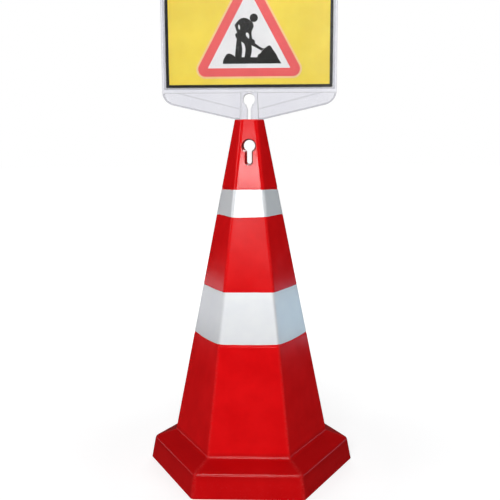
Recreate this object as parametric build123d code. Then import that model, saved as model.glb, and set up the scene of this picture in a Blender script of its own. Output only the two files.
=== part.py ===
from build123d import *
import math
import os

# A six-sided traffic cone with a clear sign holder plugged into its top.
# Origin at the middle of the footprint, on the ground.  +Z is up, the sign faces -Y.
# Two flats of every hexagon face -Y and +Y, two corners lie on the X axis.  Millimetres.

# Cone and skirt, outside: corner-to-corner radii of the hexagons and their heights
SKIRT_FOOT_R = 210.8
SHOULDER_R = 201.8
CONE_FOOT_R = 157.7
CONE_TOP_R = 30.0
SHOULDER_Z = 45.8
CONE_FOOT_Z = 60.7
CONE_TOP_Z = 700.0
SKIRT_CORNER = 10.0
CONE_FOOT_CORNER = 5.0
CONE_TOP_CORNER = 10.0
SHOULDER_ROUND = 8.5
FOOT_ROUND = 7.0
TOP_ROUND = 2.0
WALL = 3.2
TOP_PLATE = 3.5
# Level inset of the hollow's corners, and drop of its shoulder, both in walls
INSET_SHARE = 1.18
DROP_SHARE = 0.675

# Reflective bands round the cone, each in a shallow recess that starts a little below it
BAND_THICK = 0.45
BAND_GLUE = 0.05
UPPER_BAND = (515.0, 566.7)
LOWER_BAND = (275.0, 372.3)
RECESS = 0.7
RECESS_STEP = 1.0
RECESS_ABOVE = 1.5
UPPER_RECESS_BELOW = 2.5
LOWER_RECESS_BELOW = 5.5
RECESS_ROUND = 1.4

# Keyhole through the cone: straight at the waist, drafted out to both faces
CONE_KEY_Z = 649.5
CONE_KEY_R = 11.1
CONE_KEY_SLOT = 9.5
CONE_KEY_END = 613.8
CONE_KEY_LAND = 6.0
CONE_KEY_DRAFT = 0.1
CONE_KEY_ROUND = 4.0
TUNNEL_REACH = 46.0
TUNNEL_WALL = 2.8

# Socket in the top of the cone, and the split plug of the sign holder in it
SOCKET_X = 17.6
SOCKET_Y = 10.3
SOCKET_WALL = 2.6
SOCKET_END = 668.5
PLUG_GAP = 0.35
PLUG_END = 669.5
PLUG_LEAD = 3.0
SEAT_GAP = 0.3

# Ballast ring in the skirt and its screws
BALLAST_OUTER_R = 199.0
BALLAST_TOP_OUTER_R = 193.5
BALLAST_INNER_R = 166.0
BALLAST_FOOT = 2.0
BALLAST_TOP = 36.0
BALLAST_CORNER = 7.0
SCREW_CIRCLE = 181.0
BOSS_R = 7.0
PILOT_R = 2.4
PILOT_END = 46.5
SCREW_R = 2.3
SCREW_HOLE_R = 2.9
SCREW_HEAD_R = 4.8
SCREW_HEAD_H = 3.4
SCREW_HEAD_ROUND = 1.2
CROSS_REACH = 2.6
CROSS_HALF = 0.55
CROSS_DEPTH = 2.0
SCREW_POINT = 1.5
SCREW_RECESS_R = 7.0
SCREW_SEAT = 14.0
SCREW_TIP = 44.5

# Sign insert: a foam board with cut films on both faces
BOARD_X = 161.7
BOARD_FOOT = 760.3
BOARD_TOP = 992.0
BOARD_HALF = 1.5
FILM = 0.2
BORDER_WIDTH = 5.8
BORDER_INSET = 0.6
TRIANGLE_FOOT = 782.0
TRIANGLE_HALF = 108.0
TRIANGLE_APEX = 979.0
TRIANGLE_CORNER = 14.0
RING_SIDE = 17.0
RING_FOOT = 15.7
KEYLINE = 3.6
KEYLINE_LAP = 2.0
RING_INNER_CORNER = 1.0
FIGURE_FOOT = 806.0

# Clear holder: two halves with a hairline seam at y = 0, and a window sheet in each
SEAM = 0.03
HOLDER_X = 169.2
HOLDER_TOP = 1000.0
HOLDER_HALF = 6.0
RAIL_FOOT = 751.0
POCKET_X = 162.3
POCKET_FLOOR = 760.0
POCKET_HALF = 2.5
WINDOW_THICK = 1.2
WINDOW_X = 165.4
WINDOW_FOOT = 757.6
WINDOW_TOP = 998.0
GROOVE_GAP = 0.1
VIEW_X = 160.9
VIEW_FOOT = 761.4
VIEW_TOP = 990.0
THUMB_R = 16.0
RAIL_ROUND = 1.8
WING_CORNER = 30.0
WING_OUT = (HOLDER_X, 732.7)
WING_IN = (28.0, CONE_TOP_Z + SEAT_GAP)
WEB = 1.5
FLANGE = 3.0
RIB_WIDTH = 2.6
RIB_DEPTH = 4.6
RIB_ENDS = ((141.0, 751.5), (16.0, 719.8))
BOSS_HALF = 10.0
BOSS_TOP_X = 16.3
BOSS_FOOT_X = 18.6
BOSS_WALL = 2.2
BOSS_ROUND = 1.0
PLUG_LEAD_IN = 1.2
BOSS_OVERLAP = 3.0
WING_OVERLAP = 4.0
HOLDER_KEY_Z = 738.4
HOLDER_KEY_R = 11.3
HOLDER_KEY_FUNNEL = 6.4
HOLDER_KEY_NECK_Z = 720.0
HOLDER_SLOT = 6.2

SIXTY = math.radians(60)
FLAT = math.cos(SIXTY / 2)


def hexagon(corner_r, rounding, z):
    """Rounded hexagon at a height, corners on the X axis."""
    outline = RegularPolygon(corner_r, 6)
    return Pos(0, 0, z) * fillet(outline.vertices(), rounding)


def frustum(low, high):
    """Solid between two rounded hexagons, each given as (corner radius, rounding, z)."""
    return loft([hexagon(*low), hexagon(*high)], ruled=True)


def cone_r(z):
    """Corner radius of the cone's outside at a height."""
    share = (z - CONE_FOOT_Z) / (CONE_TOP_Z - CONE_FOOT_Z)
    return CONE_FOOT_R + share * (CONE_TOP_R - CONE_FOOT_R)


def cone_corner(z):
    """Rounding of the cone's upright edges at a height."""
    share = (z - CONE_FOOT_Z) / (CONE_TOP_Z - CONE_FOOT_Z)
    return CONE_FOOT_CORNER + share * (CONE_TOP_CORNER - CONE_FOOT_CORNER)


def sharp_outside():
    """Outside of cone, shoulder and skirt before the level edges are rounded."""
    skirt = frustum((SKIRT_FOOT_R, SKIRT_CORNER, 0), (SHOULDER_R, SKIRT_CORNER, SHOULDER_Z))
    shoulder = frustum((SHOULDER_R, SKIRT_CORNER, SHOULDER_Z), (CONE_FOOT_R, CONE_FOOT_CORNER, CONE_FOOT_Z))
    cone = frustum((CONE_FOOT_R, CONE_FOOT_CORNER, CONE_FOOT_Z), (CONE_TOP_R, CONE_TOP_CORNER, CONE_TOP_Z))
    return skirt + shoulder + cone


def level_edges(solid, z):
    """Edges of a solid that lie at one height."""
    low = solid.edges().filter_by_position(Axis.Z, z - 0.01, z + 0.01)
    return [edge for edge in low if edge.length > 0.1]


def rounded_outside():
    """Outside of the cone with its shoulder, foot and top rim rounded."""
    solid = sharp_outside()
    solid = fillet(level_edges(solid, SHOULDER_Z), SHOULDER_ROUND)
    solid = fillet(level_edges(solid, CONE_FOOT_Z), FOOT_ROUND)
    return fillet(level_edges(solid, CONE_TOP_Z), TOP_ROUND)


def inside():
    """Hollow of the cone, open at the ground."""
    inset = INSET_SHARE * WALL
    drop = DROP_SHARE * WALL
    ceiling = CONE_TOP_Z - TOP_PLATE
    skirt_corner = SKIRT_CORNER - WALL
    foot = (SKIRT_FOOT_R - inset, skirt_corner, 0)
    shoulder = (SHOULDER_R - inset, skirt_corner, SHOULDER_Z - drop)
    cone_foot = (CONE_FOOT_R - inset, CONE_FOOT_CORNER - WALL, CONE_FOOT_Z - drop)
    cone_top = (cone_r(ceiling) - inset, CONE_TOP_CORNER - WALL, ceiling)
    return frustum(foot, shoulder) + frustum(shoulder, cone_foot) + frustum(cone_foot, cone_top)


def keyhole(y, grow):
    """Keyhole outline in an upright plane, grown on every side by a margin."""
    radius = CONE_KEY_R + grow
    half_slot = CONE_KEY_SLOT / 2 + grow
    slot_end = CONE_KEY_END - 0.5 * grow
    straight = CONE_KEY_Z - slot_end - half_slot
    eye = Circle(radius)
    slot = Pos(0, -straight / 2) * Rectangle(2 * half_slot, straight)
    tip = Pos(0, -straight) * Circle(half_slot)
    outline = eye + slot + tip
    necks = outline.vertices().filter_by_position(Axis.Y, -radius, -0.3 * radius)
    necks = [corner for corner in necks if abs(abs(corner.X) - half_slot) < 0.01]
    necks = sorted(necks, key=lambda corner: -corner.Y)[:2]
    outline = fillet(necks, CONE_KEY_ROUND)
    plane = Plane(origin=(0, y, CONE_KEY_Z), x_dir=(1, 0, 0), z_dir=(0, -1, 0))
    return plane * outline


def key_tunnel(margin):
    """Keyhole passage from face to face, grown by a margin."""
    flare = CONE_KEY_DRAFT * (TUNNEL_REACH - CONE_KEY_LAND)
    land = extrude(keyhole(CONE_KEY_LAND, margin), 2 * CONE_KEY_LAND)
    front = loft([keyhole(-CONE_KEY_LAND, margin), keyhole(-TUNNEL_REACH, margin + flare)], ruled=True)
    rear = loft([keyhole(CONE_KEY_LAND, margin), keyhole(TUNNEL_REACH, margin + flare)], ruled=True)
    return land + front + rear


def block(x, y, z):
    """Box given by its low and high limits along each axis."""
    size = (x[1] - x[0], y[1] - y[0], z[1] - z[0])
    middle = ((x[0] + x[1]) / 2, (y[0] + y[1]) / 2, (z[0] + z[1]) / 2)
    return Pos(*middle) * Box(*size)


def rod(radius, x, y, z):
    """Upright cylinder between two heights."""
    return Pos(x, y, (z[0] + z[1]) / 2) * Cylinder(radius, z[1] - z[0])


def screw_places():
    """Ground positions of the six ballast screws, one behind each corner."""
    return [(SCREW_CIRCLE * math.cos(k * SIXTY), SCREW_CIRCLE * math.sin(k * SIXTY)) for k in range(6)]


def cone_shell():
    """Moulded cone and skirt in one piece, with socket, keyhole passage and screw bosses."""
    outside = rounded_outside()
    reach_x = SOCKET_X + SOCKET_WALL
    reach_y = SOCKET_Y + SOCKET_WALL
    sleeve = block((-reach_x, reach_x), (-reach_y, reach_y), (SOCKET_END, CONE_TOP_Z - 1))
    inner_parts = sleeve + key_tunnel(TUNNEL_WALL)
    for x, y in screw_places():
        inner_parts += rod(BOSS_R, x, y, (BALLAST_TOP, CONE_FOOT_Z))
    shell = (outside - inside()) + (inner_parts & outside)
    shell -= block((-SOCKET_X, SOCKET_X), (-SOCKET_Y, SOCKET_Y), (SOCKET_END - 1, CONE_TOP_Z + 1))
    shell -= key_tunnel(0)
    for limits, below in ((UPPER_BAND, UPPER_RECESS_BELOW), (LOWER_BAND, LOWER_RECESS_BELOW)):
        shell -= recess(limits, below)
        shell = fillet(level_edges(shell, limits[0] - below), RECESS_ROUND)
    for x, y in screw_places():
        shell -= rod(PILOT_R, x, y, (BALLAST_TOP - 1, PILOT_END))
    return shell


def station(z, stand_off):
    """Hexagon of the cone's outside at a height, moved out by a distance."""
    return (cone_r(z) + stand_off / FLAT, cone_corner(z) + stand_off, z)


def recess(band_limits, below):
    """Shallow groove round the cone for a band, with sloped steps."""
    low = band_limits[0] - below
    high = band_limits[1] + RECESS_ABOVE
    core = frustum(station(low, 0), station(low + RECESS_STEP, -RECESS))
    core += frustum(station(low + RECESS_STEP, -RECESS), station(high - RECESS_STEP, -RECESS))
    core += frustum(station(high - RECESS_STEP, -RECESS), station(high, 0))
    return frustum(station(low, WALL), station(high, WALL)) - core


def band(limits):
    """Sleeve of reflective sheet in its recess between two heights."""
    base = BAND_GLUE - RECESS
    inner = frustum(*[station(z, base) for z in limits])
    return frustum(*[station(z, base + BAND_THICK) for z in limits]) - inner


def ballast_ring():
    """Six-sided rubber ring in the skirt, with screw holes and head recesses from below."""
    foot = (BALLAST_OUTER_R, BALLAST_CORNER, BALLAST_FOOT)
    top = (BALLAST_TOP_OUTER_R, BALLAST_CORNER, BALLAST_TOP)
    ring = frustum(foot, top)
    ring -= frustum((BALLAST_INNER_R, BALLAST_CORNER, 0), (BALLAST_INNER_R, BALLAST_CORNER, CONE_FOOT_Z))
    for x, y in screw_places():
        ring -= rod(SCREW_HOLE_R, x, y, (0, CONE_FOOT_Z))
        ring -= rod(SCREW_RECESS_R, x, y, (0, SCREW_SEAT))
    return ring


def ballast_screws():
    """Six pan-head screws from below, with cross recesses."""
    head_foot = SCREW_SEAT - SCREW_HEAD_H
    head = rod(SCREW_HEAD_R, 0, 0, (head_foot, SCREW_SEAT))
    head = fillet(head.edges().sort_by(Axis.Z)[:1], SCREW_HEAD_ROUND)
    for reach_x, reach_y in ((CROSS_REACH, CROSS_HALF), (CROSS_HALF, CROSS_REACH)):
        head -= block((-reach_x, reach_x), (-reach_y, reach_y), (head_foot - 1, head_foot + CROSS_DEPTH))
    shank = rod(SCREW_R, 0, 0, (SCREW_SEAT, SCREW_TIP))
    screw = head + chamfer(shank.edges().sort_by(Axis.Z)[-1:], SCREW_POINT)
    return [Pos(x, y, 0) * screw for x, y in screw_places()]


def upright(outline, y_face, depth):
    """Extrude a sketch drawn in x and z from the plane y = y_face towards -Y."""
    plane = Plane(origin=(0, y_face, 0), x_dir=(1, 0, 0), z_dir=(0, -1, 0))
    return extrude(plane * outline, depth)


def both_sides(points):
    """Closed outline symmetric about x = 0, from its right-hand points."""
    left = [(-x, z) for x, z in reversed(points)]
    return make_face(Polyline(*points, *left, close=True))


def wing_outline(inset):
    """Gusset under the sign, inset from its edge."""
    corner_x, corner_z = WING_OUT
    run = corner_x - WING_IN[0]
    rise = corner_z - WING_IN[1]
    slope = rise / run
    lift = inset * math.hypot(run, rise) / run
    low = WING_IN[1] + inset
    low_x = WING_IN[0] + (low - WING_IN[1] - lift) / slope if inset else WING_IN[0]
    side_x = corner_x - inset
    side_z = WING_IN[1] + slope * (side_x - WING_IN[0]) + lift
    outline = both_sides([(low_x, low), (side_x, side_z), (side_x, RAIL_FOOT + WING_OVERLAP)])
    corners = [corner for corner in outline.vertices() if abs(corner.Y - side_z) < 0.01]
    half_turn = (math.pi / 2 - math.atan(slope)) / 2
    largest = (RAIL_FOOT + WING_OVERLAP - side_z) / math.tan(half_turn)
    return fillet(corners, min(WING_CORNER - inset, 0.98 * largest))


def holder_keyhole(margin, foot):
    """Keyhole and slot of the holder, grown by a margin and cut down to a height."""
    eye = Pos(0, HOLDER_KEY_Z) * Circle(HOLDER_KEY_R + margin)
    half = HOLDER_SLOT / 2 + margin
    neck_top = HOLDER_KEY_Z - math.sqrt(HOLDER_KEY_R ** 2 - HOLDER_KEY_FUNNEL ** 2)
    points = [(half, foot), (half, HOLDER_KEY_NECK_Z), (HOLDER_KEY_FUNNEL + margin, neck_top)]
    return eye + both_sides(points)


def boss_outline(inset):
    """Front outline of the boss and the plug below it."""
    plug_x = SOCKET_X - PLUG_GAP - inset
    points = [
        (plug_x - PLUG_LEAD_IN, PLUG_END + inset),
        (plug_x, PLUG_END + PLUG_LEAD + inset),
        (plug_x, CONE_TOP_Z + SEAT_GAP + inset),
        (BOSS_FOOT_X - inset, CONE_TOP_Z + SEAT_GAP + inset),
        (BOSS_TOP_X - inset, RAIL_FOOT + BOSS_OVERLAP - inset),
    ]
    return both_sides(points)


def front_half():
    """Front half of the clear holder, between y = -10 and the seam."""
    depth = HOLDER_HALF
    frame = block((-HOLDER_X, HOLDER_X), (-depth, 0), (RAIL_FOOT, HOLDER_TOP))
    outer_edges = frame.edges().filter_by(Axis.Z).sort_by(Axis.Y)[:2]
    outer_edges += frame.edges().filter_by(Axis.X).sort_by(Axis.Y)[:2]
    frame = fillet(outer_edges, RAIL_ROUND)
    frame -= block((-VIEW_X, VIEW_X), (-depth - 1, 0), (VIEW_FOOT, VIEW_TOP))
    groove_x = WINDOW_X + GROOVE_GAP
    groove_y = (-POCKET_HALF - WINDOW_THICK - GROOVE_GAP, -POCKET_HALF)
    frame -= block((-groove_x, groove_x), groove_y, (WINDOW_FOOT - GROOVE_GAP, HOLDER_TOP + 1))
    frame -= block((-POCKET_X, POCKET_X), (-POCKET_HALF - 0.01, 0), (POCKET_FLOOR, HOLDER_TOP + 1))
    frame -= thumb_notch()

    web = upright(wing_outline(0), 0, WEB)
    flange = upright(wing_outline(0) - wing_outline(FLANGE), 0, depth)
    half = frame + web + flange
    for side in (1, -1):
        start = (side * RIB_ENDS[0][0], RIB_ENDS[0][1])
        end = (side * RIB_ENDS[1][0], RIB_ENDS[1][1])
        length = math.dist(start, end)
        angle = math.degrees(math.atan2(end[1] - start[1], end[0] - start[0]))
        middle = Pos((start[0] + end[0]) / 2, (start[1] + end[1]) / 2)
        rib = middle * Rot(0, 0, angle) * Rectangle(length, RIB_WIDTH)
        half += upright(rib, 0, RIB_DEPTH)

    boss = upright(boss_outline(0), 0, BOSS_HALF)
    boss = fillet(boss.faces().sort_by(Axis.Y)[0].edges(), BOSS_ROUND)
    hollow = upright(boss_outline(BOSS_WALL), 0, BOSS_HALF - BOSS_WALL)
    lining = upright(holder_keyhole(BOSS_WALL, PLUG_END), 0, BOSS_HALF - 1)
    half += boss
    half -= hollow
    half += lining & boss
    half -= upright(holder_keyhole(0, PLUG_END - 1), 1, BOSS_HALF + 2)
    return half - block((-HOLDER_X, HOLDER_X), (-SEAM, 1), (PLUG_END - 1, HOLDER_TOP + 1))


def thumb_notch():
    """Half-round notch in the top edge of the holder, for a finger and thumb."""
    return Pos(0, 0, HOLDER_TOP) * Rot(90, 0, 0) * Cylinder(THUMB_R, 4 * BOSS_HALF)


def front_window():
    """Clear sheet in front of the insert."""
    y = (-POCKET_HALF - WINDOW_THICK, -POCKET_HALF)
    return block((-WINDOW_X, WINDOW_X), y, (WINDOW_FOOT, WINDOW_TOP)) - thumb_notch()


def sign_board():
    """White foam board between the films."""
    board = block((-BOARD_X, BOARD_X), (-BOARD_HALF, BOARD_HALF), (BOARD_FOOT, BOARD_TOP))
    return fillet(board.edges().filter_by(Axis.Y), 2.0)


def rectangle(x, low, high):
    """Rectangle in x and z, centred on x = 0."""
    return Pos(0, (low + high) / 2) * Rectangle(2 * x, high - low)


def triangle(side_inset, foot_inset, rounding):
    """Warning triangle, inset at its sides and foot, with rounded corners."""
    rise = TRIANGLE_APEX - TRIANGLE_FOOT
    slant = math.hypot(rise, TRIANGLE_HALF)
    apex = TRIANGLE_APEX - side_inset * slant / TRIANGLE_HALF
    foot = TRIANGLE_FOOT + foot_inset
    half = (apex - foot) * TRIANGLE_HALF / rise
    outline = make_face(Polyline((-half, foot), (half, foot), (0, apex), close=True))
    return fillet(outline.vertices(), rounding)


def smooth(*points):
    """Smooth curve through points."""
    return Spline(*points)


def worker_figure():
    """Digging worker, spoil heap and mound, drawn from the ground line up."""
    back = smooth((1, 82), (-4.1, 84.4), (-10.8, 85.2), (-16, 83.6), (-22.2, 78.4), (-27.2, 72.4))
    elbow = smooth((-27.2, 72.4), (-25.1, 65.2), (-22.7, 58))
    hip = smooth((-22.7, 58), (-26, 54.2), (-25.5, 50.8), (-23.3, 46.5))
    rear_leg = smooth((-23.3, 46.5), (-25.4, 30), (-27, 10))
    ground = Line((-27, 10), (2, 10))
    front_leg = smooth((2, 10), (5, 20.5), (5.3, 34))
    shaft_low = smooth((5.3, 34), (15, 29.3), (24, 24))
    blade = Line((24, 24), (30.5, 28.6))
    shaft_top = smooth((30.5, 28.6), (26.5, 28.9), (19.4, 32.6), (11.9, 38))
    hands = smooth((11.9, 38), (11.3, 42.6), (6.4, 46.4))
    arm = smooth((6.4, 46.4), (5.4, 54), (6.1, 62), (9.1, 68.4), (8.8, 73), (6.6, 77.5))
    neck = Line((6.6, 77.5), (1, 82))
    body = make_face([back, elbow, hip, rear_leg, ground, front_leg, shaft_low, blade,
                      shaft_top, hands, arm, neck])
    elbow_gap = Pos(-18.6, 68.2) * Rot(0, 0, 8) * Ellipse(1.7, 4.6)
    arm_gap = make_face([smooth((-5, 57.6), (-1.6, 57.2), (0.6, 52.5), (0.2, 46.3)),
                         smooth((0.2, 46.3), (-3.4, 49.8), (-5.6, 53.4), (-5, 57.6))])
    leg_gap = make_face([Line((-8.6, 12.3), (-14.2, 12.3)),
                         smooth((-14.2, 12.3), (-13, 23), (-13.3, 32), (-14.7, 41)),
                         smooth((-14.7, 41), (-9.8, 37.6), (-7, 30), (-7.2, 21), (-8.6, 12.3))])
    head = Pos(9.6, 85.1) * Circle(7.8)
    return body + head - elbow_gap - arm_gap - leg_gap


def spoil_heap():
    """Heap under the blade, strip of ground and mound behind the worker."""
    points = [(-50.4, 0), (62.6, 0), (56.2, 9.7), (53.6, 15.7), (42.6, 31.6)]
    right = Polyline(*points)
    peak = smooth(points[-1], (39.1, 33.8), (34.9, 32), (30, 28.4))
    step = Polyline((30, 28.4), (23.8, 22.6), (21.7, 19.1), (17.7, 17.1), (15.9, 11.9), (-26.7, 12.6))
    mound = smooth((-26.7, 12.6), (-34.3, 18.3), (-41, 18.9), (-46, 13.7), (-50.2, 4.5), points[0])
    return make_face([right, peak, step, mound])


def pictogram():
    """Whole black figure in its place on the sign."""
    return Pos(0, FIGURE_FOOT) * (worker_figure() + spoil_heap())


def front_films():
    """Cut films on the front of the board, from the board outwards."""
    first = -BOARD_HALF
    second = first - FILM
    third = second - FILM
    edge_x = BOARD_X - BORDER_INSET
    low = BOARD_FOOT + BORDER_INSET
    high = BOARD_TOP - BORDER_INSET
    yellow = rectangle(edge_x, low, high)
    print_area = rectangle(edge_x - BORDER_WIDTH, low + BORDER_WIDTH, high - BORDER_WIDTH)
    outside = triangle(0, 0, TRIANGLE_CORNER)
    opening = triangle(RING_SIDE, RING_FOOT, RING_INNER_CORNER)
    outline = triangle(-KEYLINE, -KEYLINE, TRIANGLE_CORNER + KEYLINE)
    outline -= triangle(KEYLINE_LAP, KEYLINE_LAP, TRIANGLE_CORNER - KEYLINE_LAP)
    white = triangle(RING_SIDE - KEYLINE_LAP, RING_FOOT - KEYLINE_LAP, RING_INNER_CORNER + KEYLINE_LAP)
    return {
        "yellow_film": upright(yellow, first, FILM),
        "black_border": upright(yellow - print_area, second, FILM),
        "triangle_outline": upright(outline, second, FILM),
        "white_triangle": upright(white, second, FILM),
        "red_ring": upright(outside - opening, third, FILM),
        "worker_pictogram": upright(pictogram(), third, FILM),
    }


def build():
    """Every node of the object by name."""
    turn = Rot(0, 0, 180)
    half = front_half()
    window = front_window()
    nodes = {
        "cone_shell": cone_shell(),
        "upper_reflective_band": band(UPPER_BAND),
        "lower_reflective_band": band(LOWER_BAND),
        "ballast_ring": ballast_ring(),
        "ballast_screws": Compound(children=ballast_screws()),
        "holder_front_shell": half,
        "holder_rear_shell": turn * half,
        "front_window": window,
        "rear_window": turn * window,
        "sign_board": sign_board(),
    }
    for name, film in front_films().items():
        nodes["front_" + name] = film
        nodes["rear_" + name] = turn * film
    return nodes


os.makedirs("parts", exist_ok=True)
for node_name, shape in build().items():
    export_step(shape, "parts/" + node_name + ".step")
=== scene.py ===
import math

import bmesh
import bpy
from mathutils import Matrix, Vector, noise


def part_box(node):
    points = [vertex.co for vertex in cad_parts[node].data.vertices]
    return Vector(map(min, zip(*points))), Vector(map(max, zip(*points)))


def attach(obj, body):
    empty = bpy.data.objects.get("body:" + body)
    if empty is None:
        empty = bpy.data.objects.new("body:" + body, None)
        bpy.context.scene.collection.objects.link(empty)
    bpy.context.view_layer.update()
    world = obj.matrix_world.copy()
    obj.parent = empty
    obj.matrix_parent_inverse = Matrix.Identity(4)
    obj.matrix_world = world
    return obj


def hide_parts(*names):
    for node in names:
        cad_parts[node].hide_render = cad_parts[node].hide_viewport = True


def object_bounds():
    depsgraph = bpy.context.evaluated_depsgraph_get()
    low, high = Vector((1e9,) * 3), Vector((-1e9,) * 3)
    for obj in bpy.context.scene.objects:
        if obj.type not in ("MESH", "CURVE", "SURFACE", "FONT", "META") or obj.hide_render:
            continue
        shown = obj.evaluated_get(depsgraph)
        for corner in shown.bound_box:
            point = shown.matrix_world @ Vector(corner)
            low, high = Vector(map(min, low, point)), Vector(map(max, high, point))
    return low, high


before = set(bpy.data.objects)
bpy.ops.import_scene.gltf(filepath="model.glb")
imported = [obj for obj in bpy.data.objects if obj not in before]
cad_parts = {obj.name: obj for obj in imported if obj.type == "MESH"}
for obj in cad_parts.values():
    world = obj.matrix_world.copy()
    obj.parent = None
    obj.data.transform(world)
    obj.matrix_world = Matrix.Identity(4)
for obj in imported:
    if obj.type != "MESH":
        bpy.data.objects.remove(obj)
cad_low, cad_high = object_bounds()

# Camera: distance from the object's axis, height, and where it looks
CAMERA_AWAY = 1.424
CAMERA_HEIGHT = 0.672
CAMERA_AZIMUTH = 2.03
CAMERA_PITCH = 9.19
CAMERA_ROLL = -0.30
LENS = 51.6
SENSOR = 36.0

# How bright the white surroundings are to matt and to glossy surfaces
AMBIENT_MATT = 0.09
AMBIENT_GLOSS = 0.03

# Floor: its reach, its sides, and the gap that keeps it off the skirt's foot
STAGE_RADIUS = 14.0
STAGE_SIDES = 96
STAGE_GAP = 0.0005

# Height at which the lights are aimed, as a share of the object's height
AIM_SHARE = 0.59

# Reflective sheet: thickness, gap under it, its hexagonal cells, the width of its rim,
# how ragged its cut edges are and how high its wrinkles stand
SHEET_THICK = 0.00045
SHEET_GAP = 0.00005
CELL = 0.0042
RIM = 0.0003
RAGGED = 0.0004
WRINKLE = 0.00012

# How far the hand-cut edges of the bands leave the level, downwards
UPPER_TOP_DROP = 0.0035
UPPER_FOOT_DIP = 0.0013
LOWER_TOP_DIP = 0.0008
LOWER_FOOT_DIP = 0.0036

# The bands' edges: turns run from 0 at the back to 1, with the front in the middle
FRONT_TURN = 0.5
QUARTER_TURN = 0.25
UPPER_DIP_TURN = 0.47
UPPER_DIP_SPREAD = 0.07
LOWER_FRONT_SPREAD = 0.09
LOWER_FRONT_SHARE = 0.6

# Grid of a band: rows up it, and steps along each flat and round each corner of the cone
BAND_ROWS = 14
PER_SIDE = 26
PER_CORNER = 8
AROUND = 6 * (PER_SIDE + PER_CORNER)
SIXTH = math.radians(60)
HALF_SIXTH = math.radians(30)

# Rounding of the cone's upright edges at its foot and at its top
FOOT_CORNER = 0.005
TOP_CORNER = 0.010
CONE_FOOT_Z = 0.0607

# Height at which the holder's gusset ends and its rails begin
GUSSET_TOP = 0.751


# ---------------------------------------------------------------- node helpers

class Graph:
    """A material's nodes, with short calls to add and join them."""

    def __init__(self, name, **values):
        self.material = bpy.data.materials.new(name)
        self.material.use_nodes = True
        self.tree = self.material.node_tree
        self.shader = self.tree.nodes["Principled BSDF"]
        for socket, value in values.items():
            self.shader.inputs[socket.replace("_", " ")].default_value = value

    def add(self, kind, settings=None, **inputs):
        """Add a node; an input is a value or another node's output."""
        node = self.tree.nodes.new("ShaderNode" + kind)
        for key, value in (settings or {}).items():
            setattr(node, key, value)
        for name, value in inputs.items():
            key = int(name[1:]) if name[0] == "i" and name[1:].isdigit() else name.replace("_", " ")
            self.join(node.inputs[key], value)
        return node

    def join(self, socket, value):
        """Give a socket a value, or link it to an output."""
        if isinstance(value, bpy.types.NodeSocket):
            self.tree.links.new(value, socket)
        else:
            socket.default_value = value

    def math(self, operation, first, second=0.0, third=None, clamp=False):
        """Output of a math node."""
        node = self.add("Math", {"operation": operation, "use_clamp": clamp}, i0=first, i1=second)
        if third is not None:
            self.join(node.inputs[2], third)
        return node.outputs[0]

    def mix(self, share, first, second):
        """Colour between two colours."""
        node = self.add("Mix", {"data_type": "RGBA"})
        self.join(node.inputs[0], share)
        self.join(node.inputs[6], first)
        self.join(node.inputs[7], second)
        return node.outputs[2]

    def noise(self, scale, detail=3.0, roughness=0.5, where=None):
        """Noise in the object's own metres."""
        node = self.add("TexNoise", Scale=scale, Detail=detail, Roughness=roughness)
        self.tree.links.new(where or self.place(), node.inputs["Vector"])
        return node.outputs["Fac"]

    def place(self):
        """Object coordinates."""
        return self.add("TexCoord").outputs["Object"]

    def ramp(self, value, low, high, to_low=0.0, to_high=1.0):
        """Map a value from one range to another, held at its ends."""
        node = self.add("MapRange", {"clamp": True}, Value=value)
        node.inputs["From Min"].default_value = low
        node.inputs["From Max"].default_value = high
        node.inputs["To Min"].default_value = to_low
        node.inputs["To Max"].default_value = to_high
        return node.outputs["Result"]

    def bump(self, height, distance, strength=1.0, under=None):
        """Normal from a height."""
        node = self.add("Bump", Height=height, Distance=distance, Strength=strength)
        if under is not None:
            self.join(node.inputs["Normal"], under)
        return node.outputs["Normal"]

    def finish(self, **links):
        """Link outputs to the shader's sockets and give back the material."""
        for socket, value in links.items():
            self.join(self.shader.inputs[socket.replace("_", " ")], value)
        return self.material


# ---------------------------------------------------------------- materials

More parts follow.
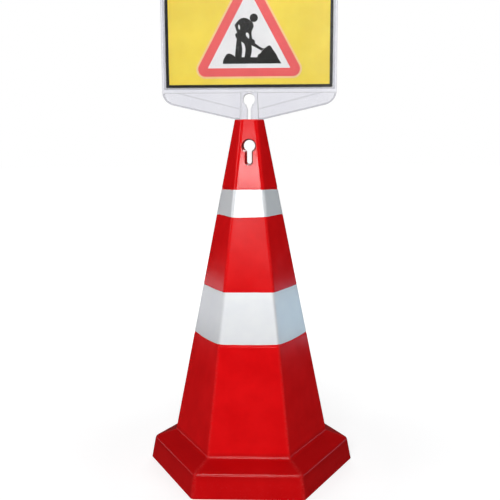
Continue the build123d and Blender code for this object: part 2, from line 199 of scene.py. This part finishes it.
def red_plastic():
    """Moulded polyethylene: deep red, soft gloss with flow streaks, scuffed at corners and foot, with a
    painted highlight along the corners and painted shade over the base.
    """
    g = Graph("red_plastic", IOR=1.46, Specular_IOR_Level=0.35)
    place = g.place()
    axes = g.add("SeparateXYZ", Vector=place)
    x, y, z = axes.outputs[0], axes.outputs[1], axes.outputs[2]
    streak_place = g.add("CombineXYZ", X=x, Y=y, Z=g.math("MULTIPLY", z, 0.22)).outputs[0]
    mottle = g.noise(22.0, 4.0, 0.6, place)
    streaks = g.noise(60.0, 3.0, 0.55, streak_place)
    grain = g.noise(900.0, 2.0, 0.5, place)
    ripple = g.noise(11.0, 2.0, 0.4, place)
    scratch = g.noise(260.0, 6.0, 0.75, place)

    turn = g.math("ARCTAN2", y, x)
    off_edge = g.math("PINGPONG", turn, HALF_SIXTH)
    edge = g.ramp(off_edge, 0.0, math.radians(2.2), 1.0, 0.0)
    # Wear and painted highlight: the upright corners are lightened towards pale red wherever the scratch
    # noise allows, which is most of their length.
    edge_wear_and_highlight = g.math("MULTIPLY", edge, g.ramp(scratch, 0.42, 0.66), clamp=True)
    low = g.ramp(z, 0.0, 0.052, 1.0, 0.0)
    scuff = g.math("MULTIPLY", low, g.ramp(scratch, 0.56, 0.70), clamp=True)
    wear_and_edge_highlight = g.math("MAXIMUM", g.math("MULTIPLY", edge_wear_and_highlight, 0.30), g.math("MULTIPLY", scuff, 0.30))

    deep = g.mix(g.ramp(mottle, 0.3, 0.7), (0.74, 0.0028, 0.0045, 1), (0.84, 0.0045, 0.0065, 1))
    # Painted shade: the whole base is darkened towards deep red, most on its top round the cone's foot,
    # fading out just above the foot.
    painted_foot_shade = g.math("MULTIPLY", g.ramp(z, 0.030, 0.048, 0.30, 0.54), g.ramp(z, 0.058, 0.072, 1.0, 0.0))
    foot_shaded = g.mix(painted_foot_shade, deep, (0.30, 0.001, 0.002, 1))
    # Painted corner highlight and foot scuffs lighten the red; the painted shade on the base darkens it.
    colour = g.mix(wear_and_edge_highlight, foot_shaded, (0.72, 0.09, 0.085, 1))
    smear = g.math("ADD", g.math("MULTIPLY", mottle, 0.5), g.math("MULTIPLY", streaks, 0.5))
    rough = g.math("ADD", g.ramp(smear, 0.35, 0.65, 0.10, 0.17), g.math("MULTIPLY", wear_and_edge_highlight, 0.3))
    soft = g.bump(ripple, 0.004, 0.16)
    drawn = g.bump(streaks, 0.0006, 0.14, soft)
    return g.finish(Base_Color=colour, Roughness=rough, Normal=g.bump(grain, 0.00012, 0.25, drawn))


def reflective_sheet():
    """Prismatic sheet: silvery white with sealed hexagonal cells under a smooth top film."""
    g = Graph("reflective_sheet", Metallic=0.18, Coat_Weight=0.6, Coat_Roughness=0.12, IOR=1.5)
    uv = g.add("SeparateXYZ", Vector=g.add("UVMap").outputs["UV"])
    u = g.math("DIVIDE", uv.outputs[0], CELL)
    v = g.math("DIVIDE", uv.outputs[1], CELL)
    root = math.sqrt(3)

    def lattice(shift_u, shift_v):
        """Distances to the nearest point of one rectangular half of the hexagonal lattice."""
        du = g.math("SUBTRACT", g.math("WRAP", g.math("ADD", u, shift_u), 1.0, 0.0), 0.5)
        dv = g.math("SUBTRACT", g.math("WRAP", g.math("ADD", v, shift_v), root, 0.0), root / 2)
        du = g.math("ABSOLUTE", du)
        dv = g.math("ABSOLUTE", dv)
        slant = g.math("ADD", g.math("MULTIPLY", du, 0.5), g.math("MULTIPLY", dv, root / 2))
        return g.math("MAXIMUM", du, slant)

    cell = g.math("MINIMUM", lattice(0.0, 0.0), lattice(0.5, root / 2))
    wall = g.ramp(cell, 0.43, 0.49)
    dirt = g.noise(30.0, 5.0, 0.6)
    face = g.mix(g.ramp(dirt, 0.35, 0.75), (0.90, 0.92, 0.95, 1), (0.95, 0.97, 0.98, 1))
    colour = g.mix(g.math("MULTIPLY", wall, 0.45), face, (0.97, 0.98, 0.99, 1))
    rough = g.ramp(wall, 0.0, 1.0, 0.30, 0.46)
    crinkle = g.bump(g.noise(55.0, 2.0), 0.0012, 0.22)
    return g.finish(Base_Color=colour, Roughness=rough, Normal=g.bump(wall, 0.00008, 0.5, crinkle))


def ballast_rubber():
    """Pressed crumb rubber: near black with grey crumbs."""
    g = Graph("ballast_rubber", Roughness=0.9)
    place = g.place()
    crumbs = g.add("TexVoronoi", Scale=420.0)
    g.join(crumbs.inputs["Vector"], place)
    shade = g.add("SeparateColor", Color=crumbs.outputs["Color"]).outputs[0]
    colour = g.mix(g.ramp(shade, 0.55, 1.0), (0.018, 0.018, 0.019, 1), (0.060, 0.058, 0.055, 1))
    height = g.math("ADD", crumbs.outputs["Distance"], g.noise(60.0, 3.0, 0.6, place))
    return g.finish(Base_Color=colour, Normal=g.bump(height, 0.0009, 0.6))


def screw_steel():
    """Zinc-plated screw: bright grey with a brushed, slightly yellowed skin."""
    g = Graph("screw_steel", Metallic=1.0)
    stain = g.noise(350.0, 4.0, 0.6)
    colour = g.mix(stain, (0.62, 0.62, 0.60, 1), (0.46, 0.45, 0.41, 1))
    rough = g.ramp(stain, 0.3, 0.7, 0.28, 0.5)
    return g.finish(Base_Color=colour, Roughness=rough, Normal=g.bump(g.noise(1500.0), 0.0001, 0.3))


def holder_plastic():
    """Clear moulded plastic of the holder: cool tint, greyer in its ribs, with painted grey shade on its
    sidewalls that face neither front nor back.
    """
    g = Graph("clear_plastic", Transmission_Weight=0.95, IOR=1.46)
    place = g.place()
    axes = g.add("SeparateXYZ", Vector=place)
    depth = g.math("ABSOLUTE", axes.outputs[1])
    flow = g.noise(14.0, 3.0, 0.55, place)
    side = g.add("SeparateXYZ", Vector=g.add("NewGeometry").outputs["Normal"]).outputs[1]
    # Painted shade: surfaces that face neither front nor back, the sidewalls and rounded edges, are
    # coloured grey.
    facing = g.ramp(g.math("ABSOLUTE", side), 0.45, 0.95)
    raised = g.math("MULTIPLY", g.ramp(depth, 0.0035, 0.0042), g.ramp(depth, 0.0068, 0.0075, 1.0, 0.0))
    thick = g.math("MULTIPLY", raised, g.ramp(axes.outputs[2], GUSSET_TOP - 0.001, GUSSET_TOP, 1.0, 0.0))
    wall = g.mix(g.ramp(depth, 0.0048, 0.0056), (0.84, 0.84, 0.87, 1), (0.68, 0.68, 0.71, 1))
    face = g.mix(flow, (0.90, 0.90, 0.94, 1), (0.95, 0.95, 0.97, 1))
    face = g.mix(thick, face, wall)
    # Painted grey shade on the sidewalls; the faces keep their tint.
    colour = g.mix(facing, (0.66, 0.66, 0.69, 1), face)
    haze = g.noise(70.0, 4.0, 0.6, place)
    rough = g.math("ADD", g.ramp(haze, 0.3, 0.7, 0.12, 0.20), g.math("MULTIPLY", facing, -0.04))
    return g.finish(Base_Color=colour, Roughness=rough, Normal=g.bump(flow, 0.0015, 0.3))


def window_plastic():
    """Clear sheet over the print: nearly all seen through, with faint rub marks."""
    g = Graph("window_plastic", IOR=1.46)
    rub = g.noise(8.0, 5.0, 0.65)
    colour = g.mix(rub, (0.05, 0.055, 0.06, 1), (0.12, 0.125, 0.13, 1))
    rough = g.ramp(rub, 0.35, 0.65, 0.06, 0.14)
    return g.finish(Base_Color=colour, Roughness=rough, Alpha=g.ramp(rub, 0.3, 0.7, 0.02, 0.06))


def film(name, colour, other, rough):
    """Printed film: even ink with slight mottling and a smooth laminate on top."""
    g = Graph(name, Coat_Weight=0.35, Coat_Roughness=0.10, Specular_IOR_Level=0.3)
    place = g.place()
    ink = g.noise(18.0, 4.0, 0.6, place)
    dots = g.noise(1400.0, 2.0, 0.5, place)
    shade = g.math("ADD", g.math("MULTIPLY", ink, 0.7), g.math("MULTIPLY", dots, 0.3))
    mixed = g.mix(g.ramp(shade, 0.35, 0.65), colour + (1,), other + (1,))
    spread = g.ramp(ink, 0.3, 0.7, rough, rough + 0.08)
    return g.finish(Base_Color=mixed, Roughness=spread, Normal=g.bump(dots, 0.00003, 0.3))


def board_foam():
    """Foamed white board with fine open cells on its cut edge."""
    g = Graph("board_foam", Roughness=0.7)
    cells = g.add("TexVoronoi", Scale=1800.0)
    g.join(cells.inputs["Vector"], g.place())
    colour = g.mix(cells.outputs["Distance"], (0.88, 0.88, 0.86, 1), (0.74, 0.74, 0.72, 1))
    return g.finish(Base_Color=colour, Normal=g.bump(cells.outputs["Distance"], 0.0003, 0.5))


def stage_white():
    """Pale studio floor that runs out to white in the distance."""
    g = Graph("stage_white", Roughness=0.8)
    place = g.place()
    speck = g.noise(3.0, 2.0, 0.5, place)
    colour = g.mix(speck, (0.34, 0.34, 0.34, 1), (0.37, 0.37, 0.37, 1))
    away = g.add("VectorMath", {"operation": "LENGTH"}, i0=place).outputs["Value"]
    g.shader.inputs["Emission Color"].default_value = (1, 1, 1, 1)
    path = g.add("LightPath")
    sight = g.math("MAXIMUM", path.outputs["Is Camera Ray"], path.outputs["Is Transmission Ray"])
    glow = g.math("MULTIPLY", sight, g.ramp(away, 0.3, 1.2, 0.74, 1.0))
    return g.finish(Base_Color=colour, Emission_Strength=glow)


# ---------------------------------------------------------------- reflective bands

def hexagon_point(step, corner_r, rounding):
    """One of AROUND points of a rounded hexagon with corners on the X axis, and its normal.

    Step 0 is the middle of the flat that faces +Y, so that a seam there is at the back.
    """
    step = (step + PER_SIDE // 2) % AROUND
    side, within = divmod(step, PER_SIDE + PER_CORNER)
    flat = corner_r * math.cos(HALF_SIXTH)
    half_side = corner_r / 2 - rounding * math.tan(HALF_SIXTH)
    facing = math.radians(90) + SIXTH * side
    out = Vector((math.cos(facing), math.sin(facing)))
    along = Vector((-out.y, out.x))
    if within < PER_SIDE:
        return out * flat + along * half_side * (2 * within / PER_SIDE - 1), out
    angle = facing + SIXTH * (within - PER_SIDE) / PER_CORNER
    normal = Vector((math.cos(angle), math.sin(angle)))
    return out * (flat - rounding) + along * half_side + normal * rounding, normal


def upper_edges(turn):
    """How far the upper band's foot and top leave the level, round the cone."""
    side = min(1.0, abs(turn - FRONT_TURN) / QUARTER_TURN)
    dip = math.exp(-((turn - UPPER_DIP_TURN) / UPPER_DIP_SPREAD) ** 2)
    return -UPPER_FOOT_DIP * dip, -UPPER_TOP_DROP * side * side


def lower_edges(turn):
    """The same for the lower band: its foot sags on each flat beside the front."""
    along_flat = (turn * 6 + 0.5) % 1.0
    sag = math.sin(math.pi * along_flat)
    front = math.exp(-((turn - FRONT_TURN) / LOWER_FRONT_SPREAD) ** 2)
    foot = -LOWER_FOOT_DIP * sag * (1 - LOWER_FRONT_SHARE * front)
    return foot, -LOWER_TOP_DIP * sag * (1 - front)


def band_sheet(node, taper, seed, edges):
    """A strip of reflective sheet wrapped round the cone, its ends meeting at the back.

    Its two skins, inner and outer, are grids of (vertex, run along the strip, height).
    """
    low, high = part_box(node)
    foot_x, height = high.x, high.z - low.z
    cone_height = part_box("cone_shell")[1].z - CONE_FOOT_Z
    rim = RIM / height
    inner_rows = [row / BAND_ROWS for row in range(1, BAND_ROWS)]
    shares = [0.0, rim] + inner_rows + [1 - rim, 1.0]
    rows = len(shares) - 1

    def spot(step, z):
        """Place on the cone's skin at a height, and the outward normal."""
        share = (z - CONE_FOOT_Z) / cone_height
        rounding = FOOT_CORNER + share * (TOP_CORNER - FOOT_CORNER)
        spread = rounding * (2 / math.sqrt(3) - 1)
        tip_x = foot_x - SHEET_THICK - SHEET_GAP - taper * (z - low.z)
        return hexagon_point(step, tip_x + spread, rounding)

    mesh = bmesh.new()
    uv_layer = mesh.loops.layers.uv.new("UVMap")
    skins = []
    for stand_off in (SHEET_GAP, SHEET_GAP + SHEET_THICK):
        skin = []
        for share in shares:
            verts = []
            run = 0.0
            before = spot(0, low.z)[0]
            for step in range(AROUND + 1):
                foot_drop, top_drop = edges(step / AROUND)
                ragged = noise.noise(Vector((step * 0.21, share * 1.2, seed))) * RAGGED
                z = low.z + share * height + foot_drop * (1 - share) + top_drop * share
                z += ragged * abs(2 * share - 1) ** 4
                place, normal = spot(step, z)
                run += (place - before).length
                before = place
                wrinkle = max(0.0, noise.noise(Vector((run * 40, share * 5, seed))))
                lift = stand_off + WRINKLE * wrinkle + (SHEET_THICK if step == AROUND else 0.0)
                place = place + normal * lift
                verts.append((mesh.verts.new((place.x, place.y, z)), run, z))
            skin.append(verts)
        skins.append(skin)

    def quad(corners, flip, smooth=False):
        """Face from (vertex, run, z) corners, with its run and height as UVs."""
        order = list(reversed(corners)) if flip else corners
        face = mesh.faces.new([corner[0] for corner in order])
        face.smooth = smooth
        for loop, corner in zip(face.loops, order):
            loop[uv_layer].uv = (corner[1], corner[2])

    columns = len(skins[0][0])
    for layer, flip in ((0, True), (1, False)):
        for row in range(rows):
            for col in range(columns - 1):
                a, b = skins[layer][row][col], skins[layer][row][col + 1]
                c, d = skins[layer][row + 1][col + 1], skins[layer][row + 1][col]
                quad([a, b, c, d], flip, True)
    for row, flip in ((0, False), (rows, True)):
        for col in range(columns - 1):
            quad([skins[0][row][col], skins[0][row][col + 1],
                  skins[1][row][col + 1], skins[1][row][col]], flip)
    for col, flip in ((0, True), (columns - 1, False)):
        for row in range(rows):
            quad([skins[0][row][col], skins[0][row + 1][col],
                  skins[1][row + 1][col], skins[1][row][col]], flip)

    data = bpy.data.meshes.new(node + "_sheet")
    mesh.normal_update()
    mesh.to_mesh(data)
    mesh.free()
    sheet = bpy.data.objects.new(node + "_sheet", data)
    bpy.context.scene.collection.objects.link(sheet)
    return sheet


def add_bands(material):
    """Both bands, on the cone's own taper."""
    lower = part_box("lower_reflective_band")
    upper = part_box("upper_reflective_band")
    taper = (lower[1].x - upper[1].x) / (upper[0].z - lower[0].z)
    for node, seed, edges in (("lower_reflective_band", 3.7, lower_edges),
                              ("upper_reflective_band", 8.2, upper_edges)):
        sheet = band_sheet(node, taper, seed, edges)
        sheet.data.materials.append(material)
        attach(sheet, "cone")
        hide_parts(node)


# ---------------------------------------------------------------- CAD nodes

def dress(material, *names):
    """Give CAD nodes a material."""
    for name in names:
        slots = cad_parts[name].data.materials
        slots.clear()
        slots.append(material)


def dress_cad():
    """Materials of the CAD nodes that stay."""
    dress(red_plastic(), "cone_shell")
    dress(ballast_rubber(), "ballast_ring")
    dress(screw_steel(), "ballast_screws")
    dress(holder_plastic(), "holder_front_shell", "holder_rear_shell")
    dress(window_plastic(), "front_window", "rear_window")
    dress(board_foam(), "sign_board")
    inks = {
        "yellow_film": film("yellow_film", (0.96, 0.70, 0.035), (1.0, 0.77, 0.060), 0.30),
        "black_border": film("black_film", (0.006, 0.006, 0.005), (0.014, 0.013, 0.011), 0.22),
        "triangle_outline": film("cream_film", (1.0, 0.60, 0.24), (1.0, 0.68, 0.32), 0.30),
        "white_triangle": film("white_film", (0.86, 0.86, 0.87), (0.93, 0.91, 0.92), 0.30),
        "red_ring": film("red_film", (0.88, 0.080, 0.085), (0.94, 0.105, 0.105), 0.28),
    }
    inks["worker_pictogram"] = inks["black_border"]
    for name, material in inks.items():
        dress(material, "front_" + name, "rear_" + name)


# ---------------------------------------------------------------- stage, light, camera

def add_stage():
    """Round pale floor under the object."""
    mesh = bmesh.new()
    bmesh.ops.create_circle(mesh, cap_ends=True, segments=STAGE_SIDES, radius=STAGE_RADIUS)
    data = bpy.data.meshes.new("floor")
    mesh.to_mesh(data)
    mesh.free()
    floor = bpy.data.objects.new("floor", data)
    bpy.context.scene.collection.objects.link(floor)
    floor.location.z = cad_low.z - STAGE_GAP
    data.materials.append(stage_white())
    floor.visible_glossy = False


def add_light(name, azimuth, elevation, away, size, power, tint=(1, 1, 1),
              gloss=True, matt=True, lift=0.0):
    """Softbox on a sphere round the upper part of the cone, facing it, then lifted.

    Degrees, metres and watts. Azimuth 0 is in front; gloss and matt say which surfaces see it.
    """
    data = bpy.data.lights.new(name, "AREA")
    data.shape = "RECTANGLE"
    data.size, data.size_y = size
    data.energy = power
    data.color = tint
    light = bpy.data.objects.new(name, data)
    bpy.context.scene.collection.objects.link(light)
    light.visible_glossy = gloss
    light.visible_diffuse = matt
    light.visible_transmission = False
    aim = Vector((0, 0, AIM_SHARE * cad_high.z))
    turn, rise = math.radians(azimuth), math.radians(elevation)
    back = Vector((math.sin(turn) * math.cos(rise), -math.cos(turn) * math.cos(rise), math.sin(rise)))
    light.location = aim + back * away + Vector((0, 0, lift))
    light.rotation_euler = (-back).to_track_quat("-Z", "Y").to_euler()


def add_lights():
    """Low soft key in front, its gloss from a strip and cards, weaker fills, and a white world."""
    add_light("key", -5, 17, 2.0, (1.3, 0.8), 33, gloss=False)
    add_light("strip", -2.5, 16.7, 6.0, (1.1, 0.34), 19, matt=False)
    add_light("top", 0, 48, 3.0, (1.6, 0.8), 26, matt=False)
    add_light("card", 0, 0, 4.0, (2.6, 0.5), 1.4, matt=False, lift=0.58)
    add_light("card_right", 9, 0, 4.0, (0.6, 0.7), 3.2, matt=False, lift=0.76)
    add_light("fill_left", -72, 24, 2.1, (0.5, 1.3), 5.4, (0.95, 0.96, 1.0))
    add_light("fill_right", 76, 44, 1.4, (0.5, 0.8), 2.6, (0.78, 0.92, 1.0))
    add_light("side_left", -118, 0, 2.6, (1.4, 0.27), 1.4, (0.93, 0.93, 1.0), lift=-0.455)
    add_light("side_right", 118, 0, 2.6, (1.4, 0.27), 2.2, (0.42, 0.74, 1.0), lift=-0.455)
    add_light("back", 180, 25, 2.6, (1.6, 1.2), 24)

    world = bpy.data.worlds.new("white")
    world.use_nodes = True
    bpy.context.scene.world = world
    tree = world.node_tree
    back = tree.nodes["Background"]
    path = tree.nodes.new("ShaderNodeLightPath")
    level = None
    for sight, strength in (("Is Diffuse Ray", AMBIENT_MATT), ("Is Glossy Ray", AMBIENT_GLOSS),
                            ("Is Transmission Ray", 1.0), ("Is Camera Ray", 1.0)):
        choice = tree.nodes.new("ShaderNodeMapRange")
        choice.inputs["To Max"].default_value = strength
        choice.inputs["To Min"].default_value = 0.0
        if level is not None:
            tree.links.new(level.outputs["Result"], choice.inputs["To Min"])
        tree.links.new(path.outputs[sight], choice.inputs["Value"])
        level = choice
    tree.links.new(level.outputs["Result"], back.inputs["Strength"])
    back.inputs["Color"].default_value = (1, 1, 1, 1)


def add_camera():
    """Camera where the picture was taken from."""
    data = bpy.data.cameras.new("camera")
    data.lens = LENS
    data.sensor_width = SENSOR
    camera = bpy.data.objects.new("camera", data)
    bpy.context.scene.collection.objects.link(camera)
    bpy.context.scene.camera = camera
    turn, tip, roll = (math.radians(a) for a in (CAMERA_AZIMUTH, CAMERA_PITCH, CAMERA_ROLL))
    level = Vector((-math.sin(turn), math.cos(turn), 0))
    up_axis = Vector((0, 0, 1))
    ahead = level * math.cos(tip) - up_axis * math.sin(tip)
    right = ahead.cross(up_axis).normalized()
    up = right.cross(ahead)
    rolled_right = right * math.cos(roll) + up * math.sin(roll)
    rolled_up = up * math.cos(roll) - right * math.sin(roll)
    turned = Matrix((rolled_right, rolled_up, -ahead)).transposed().to_4x4()
    place = -level * CAMERA_AWAY + up_axis * CAMERA_HEIGHT
    camera.matrix_world = Matrix.Translation(place) @ turned


dress_cad()
add_bands(reflective_sheet())
add_stage()
add_lights()
add_camera()

scene = bpy.context.scene
scene.view_settings.view_transform = "Standard"
scene.view_settings.look = "None"
